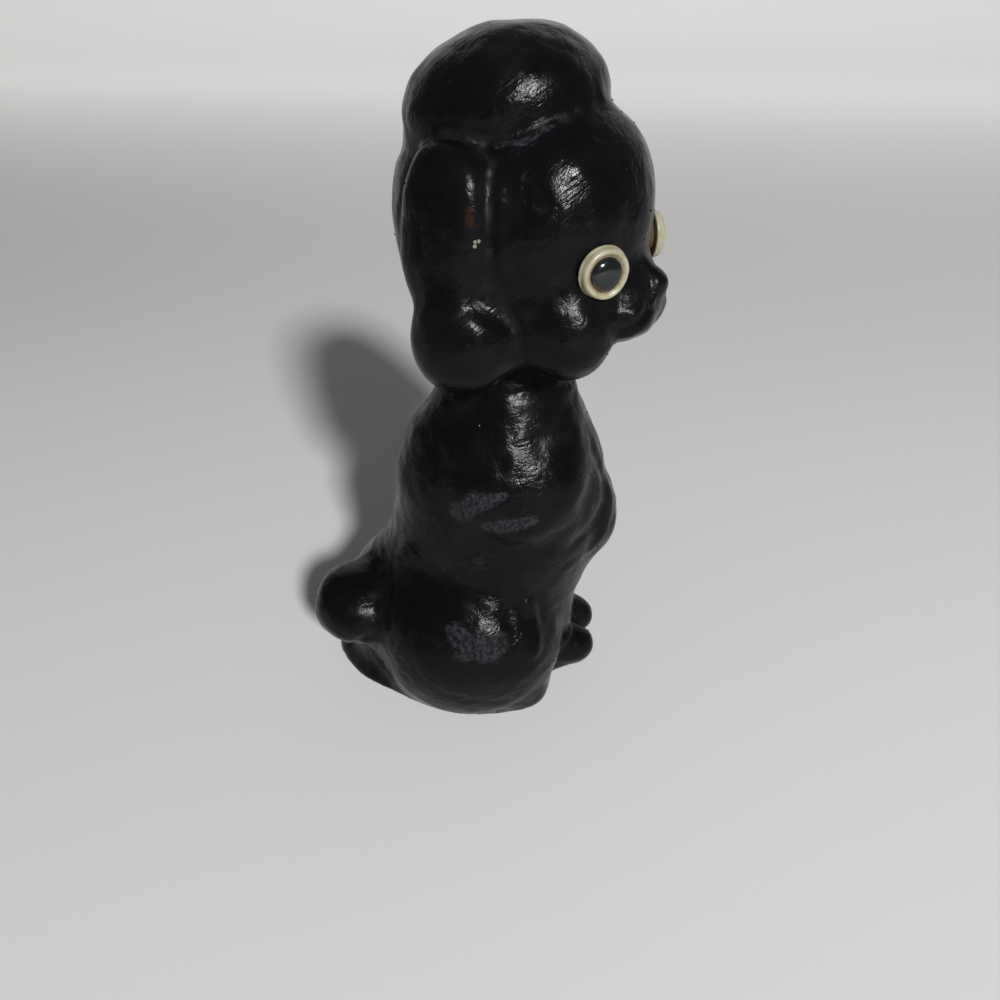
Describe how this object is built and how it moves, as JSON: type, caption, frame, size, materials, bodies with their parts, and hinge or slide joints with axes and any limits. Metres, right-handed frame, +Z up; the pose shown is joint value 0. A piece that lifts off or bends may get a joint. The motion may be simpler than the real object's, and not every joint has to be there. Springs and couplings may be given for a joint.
{
  "type": "chalkware dog figurine",
  "caption": "Seated poodle figurine cast in plaster and painted gloss black, head turned to one side, with glued-on plastic eyes.",
  "frame": {"origin": "on the flat underside, on the body's midline, below the middle of the sitting figure", "axes": "+Z up, the dog's body faces -Y, and its right side, the side its head turns to, is -X"},
  "size_m": [0.0664, 0.0842, 0.1519],
  "materials": {
    "black_enamel": "brushed gloss black enamel over cast plaster, scuffed and chipped",
    "cream_plastic": "aged cream moulded plastic",
    "pupil_plastic": "polished black moulded plastic",
    "dried_glue": "dried amber household glue, gone brown"
  },
  "bodies": {
    "root": {"plaster_casting": "black_enamel", "right_eye_cup": "cream_plastic", "left_eye_cup": "cream_plastic", "right_pupil": "pupil_plastic", "left_pupil": "pupil_plastic", "right_eye_adhesive": "dried_glue", "left_eye_adhesive": "dried_glue"}
  },
  "joints": []
}
